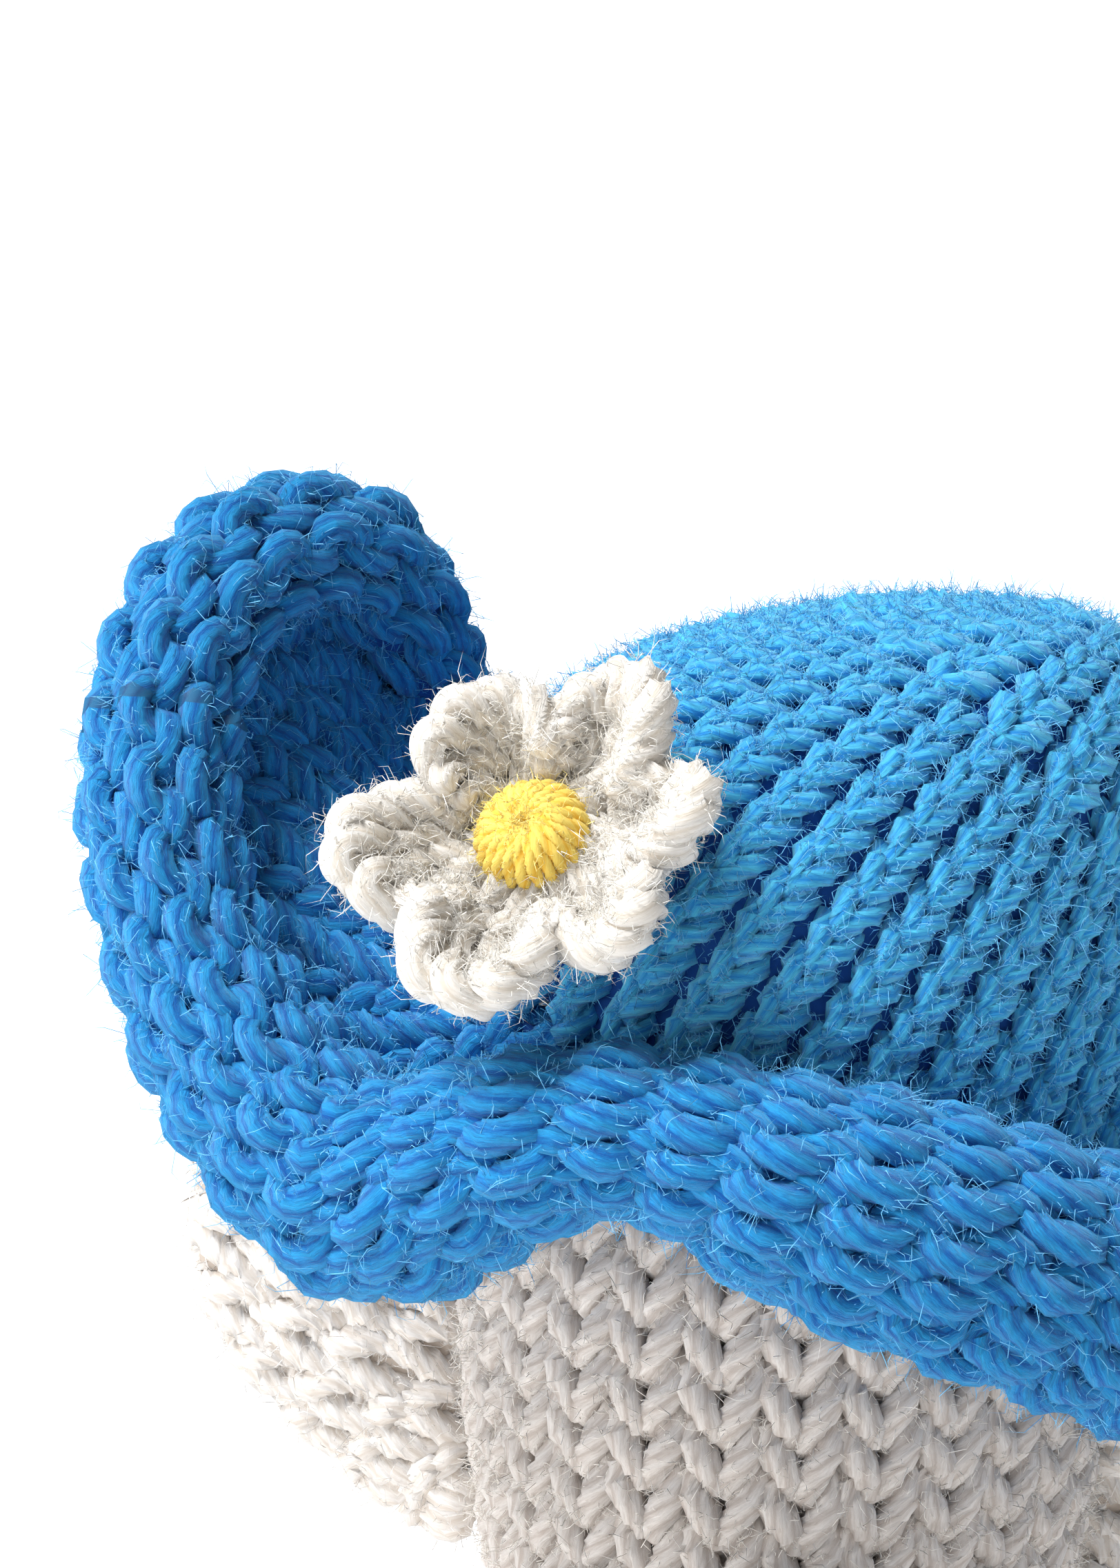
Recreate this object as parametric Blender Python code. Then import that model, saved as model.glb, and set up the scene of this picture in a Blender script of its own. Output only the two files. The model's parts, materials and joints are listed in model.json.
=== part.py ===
"""Hand-knitted elephant that sits and wears a floppy hat with a crocheted flower.

Units are metres, +Z is up and the elephant faces -Y. The origin is the middle of the
flat seat, on the surface that the toy sits on. Dimensions are written in millimetres
and scaled by MM.
"""
import math

import bmesh
import bpy
from mathutils import Vector

MM = 0.001

# ---- driving dimensions, in millimetres ----
COVER = 2.2            # thickness of the knitted covers
GAP = 0.4              # clearance between touching pieces
DEPTH = 0.94           # depth of the body and the head over their width

# outlines of the body and the head, radius and height
BODY_PROFILE = ((18, 0), (22.5, 2.5), (25.5, 9), (27, 19), (26.2, 30), (22.5, 41), (16.5, 50.5), (11, 55.4),
                (6.5, 56.6))
HEAD_PROFILE = ((6.5, 58), (12, 59), (17, 62.5), (20, 69), (21.2, 78), (22, 88), (21.6, 98), (19.8, 107),
                (15.5, 114.5), (9, 119.4), (3, 121))
TURNED_SIDES = 28

# middle lines and radii of the limbs, from root to tip; the left limb's are mirrored for the right
TRUNK_PATH = ((0, -24, 67.5), (0, -29.5, 60), (0, -33, 50), (0, -36, 40.5), (0, -41, 34.5), (0, -47.5, 33.5))
TRUNK_RADII = (10.5, 9.6, 8.3, 7.2, 6.3, 5.6)

SHOULDER = (27.8, -2, 46.5)
HAND = (42, -17, 21)
ARM_RADII = (7.2, 8.3)
HIP = (15, -25.5, 11.6)
FOOT = (23, -60, 12.4)
LEG_RADII = (10.8, 12.1)

EAR_ROOT = (21.7, 7.6, 70)     # lower end of the seam
EAR_AWAY = 14                  # degrees that the ear leans backwards
EAR_THICKNESS = 4.2
# the ear's outline, away from the head and upwards from the root
EAR_OUTLINE = ((0, 0), (4, 0.8), (9.5, 3.8), (14.7, 8.2), (19.3, 13.5), (21.4, 20.5), (20.5, 28),
               (15.5, 31.5), (8, 30), (2, 26), (0, 21), (0, 10))
DROOP = 0.62                   # fall of the ear under the brim, per width
DROOP_HEIGHT = 0.65            # height that the brim leaves to that ear
DROOP_ROOT = 6                 # how much lower its seam is

EYE_SPREAD = 36                # degrees from the middle of the face
EYE_HEIGHT = 74
EYE_REACH = 20.8               # radius of the head's surface at the eyes
EYE_RADIUS = 2.8
EYE_DOME = 1.7
SHANK_RADIUS = 0.9
SHANK_HOLE = 1.25
SHANK_LENGTH = 5.5
WASHER_RADIUS = 2.8
WASHER_DEPTH = 2.7
WASHER_THICKNESS = 0.8

TAIL_PATH = ((0, 28.6, 15), (0, 33, 11.5), (0, 40, 6.5), (0, 48, 4.6))
TAIL_RADII = (2.9, 2.8, 2.5, 2.3)
TUFT_CENTRE = (0, 57, 4.7)
TUFT_RADII = (3.9, 6, 3.9)

HAT_CENTRE = (3.5, 0, 104)
HAT_RADII = (26, 25)
HAT_FALL = (11, 3)             # fall of the crown's lower edge to the left side and to the back
HAT_TOP = 138.2
HAT_POLE = (16, -6)
HAT_FULLNESS = 2.6             # exponent of the crown's dome
HAT_SHELL = 1.1                # half the thickness of the knitted fabric
FOLD_THINNING = 0.1            # thickness left on the upper side where the crown folds into the brim
ROLL_INSET = 1.3               # depth of the fabric's middle below the roll's surface
# the rolled rim: direction in degrees, then its centre and its radius
HAT_RIM = (
    (-90, (1.5, -32.6, 108.9), 7.2), (-60, (16, -30, 103), 7.8), (-30, (29, -19, 94), 8.2),
    (0, (36, -1, 86), 8), (30, (34, 16, 90), 7.6), (60, (21, 29, 97), 7.4),
    (90, (3, 33, 104), 7), (118, (-14, 30, 112.5), 6.2),
    (133, (-24.5, 23, 123.5), 5.8), (146, (-27.4, 19, 133.3), 5.6), (160, (-31.7, 15, 138.8), 5.4),
    (175, (-38.6, 7, 137.2), 5.3), (190, (-41.4, -3, 127.5), 5.2), (205, (-37.3, -12, 114.5), 5.8),
    (222, (-27.5, -21, 105.8), 7), (240, (-17.5, -28, 111), 5.6), (255, (-9.5, -30.6, 112.5), 5),
)

FLOWER_CENTRE = (-16.5, -21, 128.6)
FLOWER_FACING = (-0.3, -0.65, 0.7)
FLOWER_RADIUS = 13
FLOWER_PETALS = 6
FLOWER_NOTCH = 0.17            # depth of the notches between the petals, per radius
FLOWER_THICKNESS = 2.6
BUTTON_RADIUS = 3.6
BUTTON_HEIGHT = 2.6

SIDES = {"left": 1, "right": -1}


# ---- scene and materials ----
def clear_scene():
    for old in list(bpy.data.objects):
        bpy.data.objects.remove(old, do_unlink=True)


def material(name, color, roughness):
    made = bpy.data.materials.new(name)
    made.use_nodes = True
    shader = made.node_tree.nodes["Principled BSDF"]
    shader.inputs["Base Color"].default_value = (*color, 1)
    shader.inputs["Roughness"].default_value = roughness
    shader.inputs["Metallic"].default_value = 0
    return made


# ---- meshes from rings ----
def skin(name, rings, surface):
    """A closed body through rings of points; a single point closes an end."""
    mesh = bpy.data.meshes.new(name)
    work = bmesh.new()
    rows = []
    for ring in rings:
        points = [ring] if isinstance(ring, Vector) else ring
        rows.append([work.verts.new(point * MM) for point in points])
    for low, high in zip(rows, rows[1:]):
        count = max(len(low), len(high))
        for index in range(count):
            after = (index + 1) % count
            corners = [low[index % len(low)], low[after % len(low)],
                       high[after % len(high)], high[index % len(high)]]
            work.faces.new(dict.fromkeys(corners))
    bmesh.ops.recalc_face_normals(work, faces=work.faces)
    work.to_mesh(mesh)
    work.free()
    mesh.shade_smooth()
    piece = bpy.data.objects.new(name, mesh)
    mesh.materials.append(surface)
    bpy.context.scene.collection.objects.link(piece)
    return piece


def weld(piece):
    """Joins the first and last rings of a body that closes on itself."""
    work = bmesh.new()
    work.from_mesh(piece.data)
    bmesh.ops.remove_doubles(work, verts=work.verts, dist=0.01 * MM)
    bmesh.ops.recalc_face_normals(work, faces=work.faces)
    work.to_mesh(piece.data)
    work.free()


def smooth(points, steps):
    """Points on a Catmull-Rom curve through the given points, steps per span."""
    knots = [Vector(point) for point in points]
    ends = [2 * knots[0] - knots[1]] + knots + [2 * knots[-1] - knots[-2]]
    curve = []
    for span in range(len(knots) - 1):
        before, start, end, after = ends[span:span + 4]
        for step in range(steps):
            t = step / steps
            curve.append(0.5 * (2 * start + (end - before) * t
                                + (2 * before - 5 * start + 4 * end - after) * t * t
                                + (3 * start - before - 3 * end + after) * t ** 3))
    return curve + [knots[-1]]


def turned_ring(radius, height, sides):
    angles = [2 * math.pi * index / sides for index in range(sides)]
    return [Vector((radius * math.cos(a), radius * DEPTH * math.sin(a), height)) for a in angles]


def offset_profile(profile, inset):
    """The profile moved to its left by inset, ends included."""
    moved = []
    for index, point in enumerate(profile):
        before = profile[max(index - 1, 0)]
        after = profile[min(index + 1, len(profile) - 1)]
        along = (Vector(after) - Vector(before)).normalized()
        moved.append((point[0] - along.y * inset, point[1] + along.x * inset))
    return moved


def turned_cover(name, profile, surface, domed):
    """A hollow cover with an open neck, closed by a dome at its top or by a flat seat at its foot."""
    inner = offset_profile(profile, COVER)
    outer_rings = [turned_ring(*point, TURNED_SIDES) for point in profile]
    inner_rings = [turned_ring(*point, TURNED_SIDES) for point in inner]
    if domed:
        top = profile[-1][1]
        rings = [Vector((0, 0, top))] + outer_rings[::-1] + inner_rings + [Vector((0, 0, top - COVER))]
    else:
        seat = turned_ring(inner[0][0] + COVER / 2, COVER, TURNED_SIDES)
        rings = [Vector((0, 0, profile[0][1]))] + outer_rings + inner_rings[:0:-1]
        rings += [seat, Vector((0, 0, COVER))]
    return skin(name, rings, surface)


def turned_filling(name, profile, surface, low, high):
    """A solid that fills a turned cover, GAP inside it."""
    inner = offset_profile(profile, COVER + GAP)
    kept = [point for point in inner if low < point[1] < high]
    rings = [turned_ring(*point, TURNED_SIDES) for point in kept]
    rings = [Vector((0, 0, low))] + rings + [Vector((0, 0, high))]
    return skin(name, rings, surface)


def frame_rings(path, radii, sides):
    """Circles square to a path that bends in one plane only."""
    tangents = []
    for index in range(len(path)):
        before = path[max(index - 1, 0)]
        after = path[min(index + 1, len(path) - 1)]
        tangents.append((after - before).normalized())
    side = tangents[0].orthogonal().normalized()
    rings = []
    for centre, radius, tangent in zip(path, radii, tangents):
        side = (side - tangent * side.dot(tangent)).normalized()
        up = tangent.cross(side)
        angles = [2 * math.pi * index / sides for index in range(sides)]
        rings.append([centre + radius * (math.cos(a) * side + math.sin(a) * up) for a in angles])
    return rings


def limb_rings(path, radii, sides, inset, open_radius):
    """Rings of a limb with round ends; the first end stops at a ring of open_radius."""
    start, end = path[0], path[-1]
    first = (path[1] - path[0]).normalized()
    last = (path[-1] - path[-2]).normalized()
    centres, sizes = [], []
    root = radii[0] - inset
    tip = radii[-1] - inset
    open_angle = math.asin(min(open_radius / root, 0.99))
    for step in range(4):
        angle = open_angle + (math.pi / 2 - open_angle) * step / 4
        centres.append(start - first * root * math.cos(angle))
        sizes.append(root * math.sin(angle))
    centres += path
    sizes += [radius - inset for radius in radii]
    for step in range(1, 4):
        angle = math.pi / 2 * step / 4
        centres.append(end + last * tip * math.sin(angle))
        sizes.append(tip * math.cos(angle))
    return frame_rings(centres, sizes, sides), end + last * tip


def limb_cover(name, path, radii, sides, surface):
    """A hollow limb whose closing hole faces the body."""
    outer, outer_tip = limb_rings(path, radii, sides, 0, 2.6)
    inner, inner_tip = limb_rings(path, radii, sides, COVER, 2.4)
    return skin(name, [outer_tip] + outer[::-1] + inner + [inner_tip], surface)


def limb_filling(name, path, radii, sides, surface):
    rings, tip = limb_rings(path, radii, sides, COVER + GAP, 0.6)
    centre = sum(rings[0], Vector()) / sides
    return skin(name, [centre] + rings + [tip], surface)


def ball(name, centre, radii, sides, surface):
    rings = [Vector(centre) - Vector((0, 0, radii[2]))]
    for step in range(1, sides // 2):
        angle = 2 * math.pi * step / sides
        height = centre[2] - radii[2] * math.cos(angle)
        around = [2 * math.pi * index / sides for index in range(sides)]
        rings.append([Vector((centre[0] + radii[0] * math.sin(angle) * math.cos(a),
                              centre[1] + radii[1] * math.sin(angle) * math.sin(a), height)) for a in around])
    rings.append(Vector(centre) + Vector((0, 0, radii[2])))
    return skin(name, rings, surface)


def combine(piece, other, operation):
    """A Boolean with a hidden cutter."""
    other.hide_render = True
    other.display_type = "WIRE"
    change = piece.modifiers.new(operation.lower(), "BOOLEAN")
    change.operation = operation
    change.object = other


def axis_turned(name, profile, base, facing, sides, surface):
    """A turned solid whose axis leaves base along facing; the profile is radius and height."""
    turn = Vector((0, 0, 1)).rotation_difference(Vector(facing)).to_matrix()
    rings = []
    for radius, height in profile:
        if radius == 0:
            rings.append(Vector(base) + turn @ Vector((0, 0, height)))
            continue
        around = [2 * math.pi * index / sides for index in range(sides)]
        circle = [Vector((radius * math.cos(a), radius * math.sin(a), height)) for a in around]
        rings.append([Vector(base) + turn @ point for point in circle])
    return skin(name, rings, surface)


# ---- body and head ----
def make_body(cream, filling):
    """The sitting body, with a pocket where each round limb root presses into it."""
    cover = turned_cover("body_cover", BODY_PROFILE, cream, domed=False)
    stuffing = turned_filling("body_stuffing", BODY_PROFILE, filling, COVER + GAP,
                              BODY_PROFILE[-1][1] - COVER - 1)
    roots = ((HIP, LEG_RADII[0], (cover, stuffing)), (SHOULDER, ARM_RADII[0], (cover,)))
    for side in SIDES.values():
        for joint, radius, pressed in roots:
            root = (joint[0] * side, joint[1], joint[2])
            for piece in pressed:
                clearance = GAP if piece is cover else 2 * GAP
                pocket = ball("limb_pocket", root, (radius + clearance,) * 3, 20, cream)
                combine(piece, pocket, "DIFFERENCE")


def make_head(cream, filling):
    """The head, open at the neck, with a pocket for the trunk's root."""
    cover = turned_cover("head_cover", HEAD_PROFILE, cream, domed=True)
    stuffing = turned_filling("head_stuffing", HEAD_PROFILE, filling, HEAD_PROFILE[0][1] + COVER + 1,
                              HEAD_PROFILE[-1][1] - COVER - GAP)
    for piece, clearance in ((cover, GAP), (stuffing, 2 * GAP)):
        pocket = ball("trunk_pocket", TRUNK_PATH[0], (TRUNK_RADII[0] + clearance,) * 3, 20, cream)
        combine(piece, pocket, "DIFFERENCE")
    return cover, stuffing


def make_eyes(head_cover, head_stuffing, black, white):
    """Safety eyes: a bead on a shank through the cover, and a washer behind it."""
    turn = math.radians(EYE_SPREAD)
    collar = 0.5                                # straight edge of the bead below its dome
    bead = [(0, -SHANK_LENGTH), (SHANK_RADIUS, -SHANK_LENGTH), (SHANK_RADIUS, 0), (EYE_RADIUS * 0.86, 0),
            (EYE_RADIUS, collar)]
    for step in range(1, 4):
        angle = math.pi / 2 * step / 4
        bead.append((EYE_RADIUS * math.cos(angle), collar + EYE_DOME * math.sin(angle)))
    bead.append((0, collar + EYE_DOME))
    low = -WASHER_DEPTH - GAP - WASHER_THICKNESS
    high = low + WASHER_THICKNESS
    washer = [(SHANK_HOLE, low), (WASHER_RADIUS, low), (WASHER_RADIUS, high), (SHANK_HOLE, high),
              (SHANK_HOLE, low)]
    hole = [(0, -4), (SHANK_HOLE, -4), (SHANK_HOLE, 3), (0, 3)]
    deep, wide = -SHANK_LENGTH - 1, WASHER_RADIUS + 0.5
    room = [(0, deep), (wide, deep), (wide, 3), (0, 3)]
    for label, side in SIDES.items():
        point = Vector((side * EYE_REACH * math.sin(turn), -EYE_REACH * DEPTH * math.cos(turn), EYE_HEIGHT))
        facing = Vector((side * math.sin(turn), -math.cos(turn) / DEPTH, 0)).normalized()
        base = point + facing * GAP
        axis_turned("eye_" + label, bead, base, facing, 16, black)
        weld(axis_turned("eye_washer_" + label, washer, base, facing, 16, white))
        shank_hole = axis_turned("shank_hole_" + label, hole, base, facing, 12, white)
        combine(head_cover, shank_hole, "DIFFERENCE")
        recess = axis_turned("washer_recess_" + label, room, base, facing, 12, white)
        combine(head_stuffing, recess, "DIFFERENCE")


def make_trunk(cream, filling):
    path = smooth(TRUNK_PATH, 2)
    radii = [point.x for point in smooth([(radius, 0, 0) for radius in TRUNK_RADII], 2)]
    limb_cover("trunk_cover", path, radii, 16, cream)
    limb_filling("trunk_stuffing", path, radii, 14, filling)


def make_ears(cream):
    """Flat knitted ears; the one under the brim hangs lower and is pressed down."""
    for label, side in SIDES.items():
        pressed = label == "left"
        away = math.radians(EAR_AWAY)
        outward = Vector((side * math.cos(away), math.sin(away), 0))
        across = Vector((-side * math.sin(away), math.cos(away), 0))
        root = Vector((EAR_ROOT[0] * side, EAR_ROOT[1], EAR_ROOT[2]))
        outline = []
        for width, height in EAR_OUTLINE:
            if pressed:
                height = height * DROOP_HEIGHT - width * DROOP - DROOP_ROOT
            outline.append(root + outward * width + Vector((0, 0, height)))
        middle = sum(outline, Vector()) / len(outline)
        half = EAR_THICKNESS / 2
        rings = [middle - across * half]
        for size, shift in ((0.6, -1), (0.93, -0.62), (1, 0), (0.93, 0.62), (0.6, 1)):
            rings.append([middle + (point - middle) * size + across * half * shift for point in outline])
        rings.append(middle + across * half)
        skin("ear_" + label, rings, cream)


# ---- limbs and tail ----
def straight(start, end, side, spans):
    low = Vector((start[0] * side, start[1], start[2]))
    high = Vector((end[0] * side, end[1], end[2]))
    return [low.lerp(high, step / spans) for step in range(spans + 1)]


def make_limbs(cream, filling):
    spans = 3
    limbs = (("arm", SHOULDER, HAND, ARM_RADII, 16), ("leg", HIP, FOOT, LEG_RADII, 18))
    for label, side in SIDES.items():
        for limb, start, end, radii, sides in limbs:
            path = straight(start, end, side, spans)
            sizes = [radii[0] + (radii[1] - radii[0]) * step / spans for step in range(spans + 1)]
            limb_cover(f"{limb}_{label}_cover", path, sizes, sides, cream)
            limb_filling(f"{limb}_{label}_stuffing", path, sizes, sides - 4, filling)


def make_tail(cream):
    path = smooth(TAIL_PATH, 2)
    radii = [point.x for point in smooth([(radius, 0, 0) for radius in TAIL_RADII], 2)]
    sides = 10
    rings, tip = limb_rings(path, radii, sides, 0, 0.4)
    centre = sum(rings[0], Vector()) / sides
    skin("tail", [centre] + rings + [tip], cream)
    ball("tail_tuft", TUFT_CENTRE, TUFT_RADII, 12, cream)


# ---- hat ----
def crown_edge(angle):
    """Lower edge of the hat's crown, where the brim begins."""
    return Vector((HAT_CENTRE[0] + HAT_RADII[0] * math.cos(angle), HAT_RADII[1] * math.sin(angle),
                   HAT_CENTRE[2] - HAT_FALL[0] * math.cos(angle) - HAT_FALL[1] * math.sin(angle)))


def crown_point(angle, reach):
    """A point on the crown; reach is 0 at the pole and 1 at the lower edge."""
    edge = crown_edge(angle)
    rise = (1 - reach ** HAT_FULLNESS) ** (1 / HAT_FULLNESS)
    pole = Vector((*HAT_POLE, HAT_TOP))
    return Vector((pole.x + (edge.x - pole.x) * reach, pole.y + (edge.y - pole.y) * reach,
                   edge.z + (pole.z - edge.z) * rise))


def rim_at(angle):
    """Centre and radius of the rolled rim, on a closed curve through HAT_RIM."""
    knots = [math.radians(row[0]) for row in HAT_RIM]
    count = len(knots)
    turn = 2 * math.pi
    angle = (angle - knots[0]) % turn + knots[0]
    span = max(index for index in range(count) if knots[index] <= angle + 1e-9)
    places = [Vector((*row[1], row[2])) for row in HAT_RIM]

    def knot(index):
        return knots[index % count] + turn * (index // count)

    def slope(index):
        rise = places[(index + 1) % count] - places[(index - 1) % count]
        return rise / (knot(index + 1) - knot(index - 1))

    step = knot(span + 1) - knot(span)
    t = (angle - knot(span)) / step
    start, end = places[span], places[(span + 1) % count]
    value = (start * (2 * t ** 3 - 3 * t * t + 1) + slope(span) * step * (t ** 3 - 2 * t * t + t)
             + end * (3 * t * t - 2 * t ** 3) + slope(span + 1) * step * (t ** 3 - t * t))
    return Vector(value[:3]), value[3]


def rim_frame(angle):
    """Rim centre, radius, outward direction and the direction that the edge rolls to."""
    centre, radius = rim_at(angle)
    ahead, _ = rim_at(angle + 0.02)
    behind, _ = rim_at(angle - 0.02)
    along = (ahead - behind).normalized()
    outward = centre - crown_edge(angle)
    outward = (outward - along * outward.dot(along)).normalized()
    return centre, radius, outward, outward.cross(along)


def brim_points(angle, count):
    """The fabric's middle line from the crown's edge to the rim, which it meets from below."""
    centre, radius, outward, over = rim_frame(angle)
    edge = crown_edge(angle)
    distance = (centre - edge).length
    near = min(max((radius * 2 - distance) / radius, 0), 1)
    join = centre - (radius - ROLL_INSET) * (1 - near) * over
    drop = Vector((0, 0, -max(distance * 0.8, 10)))
    points = []
    for index in range(count):
        t = index / (count - 1)
        points.append(edge * (2 * t ** 3 - 3 * t * t + 1) + drop * (t ** 3 - 2 * t * t + t)
                      + join * (3 * t * t - 2 * t ** 3) + outward * distance * (t ** 3 - t * t))
    return points


def make_hat(blue):
    sides = 44
    angles = [2 * math.pi * index / sides for index in range(sides)]
    reaches = (0.16, 0.34, 0.52, 0.68, 0.81, 0.9, 0.96)
    columns = []
    for angle in angles:
        column = [crown_point(angle, reach) for reach in reaches]
        column += brim_points(angle, 5)
        columns.append(column)
    rows = len(columns[0])
    fold_rows = (len(reaches), len(reaches) + 1)
    outer, inner = [], []
    for row in range(rows):
        above, below = [], []
        for index in range(sides):
            point = columns[index][row]
            along = columns[(index + 1) % sides][row] - columns[index - 1][row]
            down = columns[index][min(row + 1, rows - 1)] - columns[index][max(row - 1, 0)]
            normal = down.cross(along).normalized()
            upper = HAT_SHELL * (FOLD_THINNING if row in fold_rows else 1)
            above.append(point + normal * upper)
            below.append(point - normal * HAT_SHELL)
        outer.append(above)
        inner.append(below)
    top = Vector((HAT_POLE[0], HAT_POLE[1], HAT_TOP))
    lift = Vector((0, 0, HAT_SHELL))
    hat = skin("hat", [top + lift] + outer + inner[::-1] + [top - lift], blue)
    rim_rings = []
    for angle in angles:
        centre, radius, outward, over = rim_frame(angle)
        turns = [2 * math.pi * index / 12 for index in range(12)]
        rim_rings.append([centre + radius * (math.cos(a) * outward + math.sin(a) * over) for a in turns])
    rim = skin("hat_rim_roll", rim_rings + [rim_rings[0]], blue)
    weld(rim)
    combine(hat, rim, "UNION")


def make_flower(white, yellow):
    """Six crocheted petals in one disc, and a thread-wound centre on it."""
    facing = Vector(FLOWER_FACING).normalized()
    turn = Vector((0, 0, 1)).rotation_difference(facing).to_matrix()
    sides = 36
    half = FLOWER_THICKNESS / 2

    def ring(size, height):
        points = []
        for index in range(sides):
            angle = 2 * math.pi * index / sides
            petal = 1 - FLOWER_NOTCH * (1 - abs(math.sin(FLOWER_PETALS * angle / 2))) ** 1.5
            radius = FLOWER_RADIUS * size * petal
            flat = Vector((radius * math.cos(angle), radius * math.sin(angle), height))
            points.append(Vector(FLOWER_CENTRE) + turn @ flat)
        return points

    def pole(height):
        return Vector(FLOWER_CENTRE) + facing * height

    rings = [pole(-half), ring(0.6, -half), ring(0.95, -half * 0.7), ring(1, half * 0.4), ring(0.93, half),
             ring(0.6, half), pole(half)]
    skin("flower_petals", rings, white)
    base = pole(half + GAP)
    collar = 0.6                                # height of the button's widest part
    dome = [(0, 0), (BUTTON_RADIUS * 0.85, 0), (BUTTON_RADIUS, collar)]
    for step in range(1, 3):
        angle = math.pi / 2 * step / 3
        dome.append((BUTTON_RADIUS * math.cos(angle), collar + (BUTTON_HEIGHT - collar) * math.sin(angle)))
    dome.append((0, BUTTON_HEIGHT))
    axis_turned("flower_centre", dome, base, facing, 18, yellow)


def build():
    clear_scene()
    cream = material("cream_wool", (0.86, 0.83, 0.78), 0.95)
    blue = material("blue_wool", (0.035, 0.2, 0.55), 0.9)
    filling = material("fibre_filling", (0.93, 0.93, 0.92), 1.0)
    white = material("white_cotton", (0.92, 0.91, 0.88), 0.9)
    yellow = material("yellow_thread", (0.93, 0.62, 0.12), 0.7)
    black = material("eye_plastic", (0.01, 0.01, 0.012), 0.15)
    washer = material("washer_plastic", (0.85, 0.85, 0.85), 0.4)
    make_body(cream, filling)
    cover, stuffing = make_head(cream, filling)
    make_eyes(cover, stuffing, black, washer)
    make_trunk(cream, filling)
    make_ears(cream)
    make_limbs(cream, filling)
    make_tail(cream)
    make_hat(blue)
    make_flower(white, yellow)


build()
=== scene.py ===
"""Looks of the hand-knitted elephant with a floppy knitted hat and a crocheted flower.

Every fabric is real yarn: each knitted row is one strand that loops through the rows beside it.
Lengths are in millimetres until a mesh is made, and MM turns them into metres.
"""
import json
import math

import bpy
import numpy as np
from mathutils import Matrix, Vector

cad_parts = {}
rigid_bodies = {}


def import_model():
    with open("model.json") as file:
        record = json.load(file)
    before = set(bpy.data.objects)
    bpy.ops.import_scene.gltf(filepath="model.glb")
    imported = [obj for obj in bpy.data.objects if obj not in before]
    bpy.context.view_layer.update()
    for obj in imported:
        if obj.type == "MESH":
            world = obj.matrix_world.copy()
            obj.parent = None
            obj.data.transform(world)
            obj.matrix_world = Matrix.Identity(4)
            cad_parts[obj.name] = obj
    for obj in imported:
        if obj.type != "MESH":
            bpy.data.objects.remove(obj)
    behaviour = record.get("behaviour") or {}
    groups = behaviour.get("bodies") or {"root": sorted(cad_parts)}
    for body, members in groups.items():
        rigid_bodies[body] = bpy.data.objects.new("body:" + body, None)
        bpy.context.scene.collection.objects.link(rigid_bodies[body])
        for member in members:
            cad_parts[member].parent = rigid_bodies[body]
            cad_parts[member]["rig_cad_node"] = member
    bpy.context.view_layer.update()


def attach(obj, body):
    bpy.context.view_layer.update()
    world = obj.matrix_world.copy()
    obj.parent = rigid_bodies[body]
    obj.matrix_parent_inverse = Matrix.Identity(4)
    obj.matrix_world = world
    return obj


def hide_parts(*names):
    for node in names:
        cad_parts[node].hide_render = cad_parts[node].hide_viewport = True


MM = 0.001
TURN = 2 * math.pi

# ---- shape: the part's dimensions, and what the yarn needs beside them ----
DEPTH = 0.94
BODY_PROFILE = (
    (2, 0), (10, 0), (18, 0), (22.5, 2.5), (25.5, 9), (27, 19), (26.2, 30), (22.5, 41), (16.5, 50.5),
    (11, 55.4), (6.5, 56.6),
)
HEAD_PROFILE = (
    (6.5, 58), (12, 59), (17, 62.5), (20, 69), (21.2, 78), (22, 88), (21.6, 98), (19.8, 107),
    (15.5, 114.5), (9, 119.4), (3, 121),
)
TRUNK_PATH = ((0, -24, 67.5), (0, -29.5, 60), (0, -33, 50), (0, -36, 40.5), (0, -41, 34.5), (0, -47.5, 33.5))
TRUNK_RADII = (10.5, 9.6, 8.3, 7.2, 6.3, 5.6)
SHOULDER = (27.8, -2, 46.5)
HAND = (42, -17, 21)
ARM_RADII = (7.2, 8.3)
HIP = (15, -25.5, 11.6)
FOOT = (23, -60, 12.4)
LEG_RADII = (10.8, 12.1)
EAR_ROOT = (21.7, 7.6, 70)
EAR_AWAY = 14
EAR_EDGE = (
    (0, 0), (4, 0.8), (9.5, 3.8), (14.7, 8.2), (19.3, 13.5), (21.4, 20.5), (20.5, 28), (15.5, 31.5),
    (8, 30), (2, 26),
)
EAR_SEAM = ((0, 3), (0, 23))
EAR_CUP = 1.2
DROOP = 0.62            # how the ear under the brim hangs: its slope,
DROOP_HEIGHT = 0.65     # its height as a share of the other ear's,
DROOP_ROOT = 6          # and how much lower it starts
TAIL_PATH = ((0, 28.6, 15), (0, 33, 11.5), (0, 40, 6.5), (0, 48, 4.6), (0, 52, 4.6))
TUFT_START = (0, 51.5, 4.6)
TUFT_END = (0, 62.5, 4.7)
TUFT_RADIUS = 3.0
HAT_CENTRE = (3.5, 0, 104)
HAT_RADII = (26, 25)
HAT_FALL = (11, 3)
HAT_TOP = 138.2
HAT_POLE = (16, -6)
HAT_FULLNESS = 2.6
HAT_WALL_MIDDLE = 0.6
KNIT_HEART = (2, 0, 104)        # the crown's columns of stitches run in planes through this point
KNIT_POLE = (22.5, -1, 136)     # and meet here
KNIT_HOLE = 2.0                 # length left open round the pole
EDGE_FALL = 1e-4                # keeps the rows of the crown's grid apart where they lie past its edge
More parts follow.
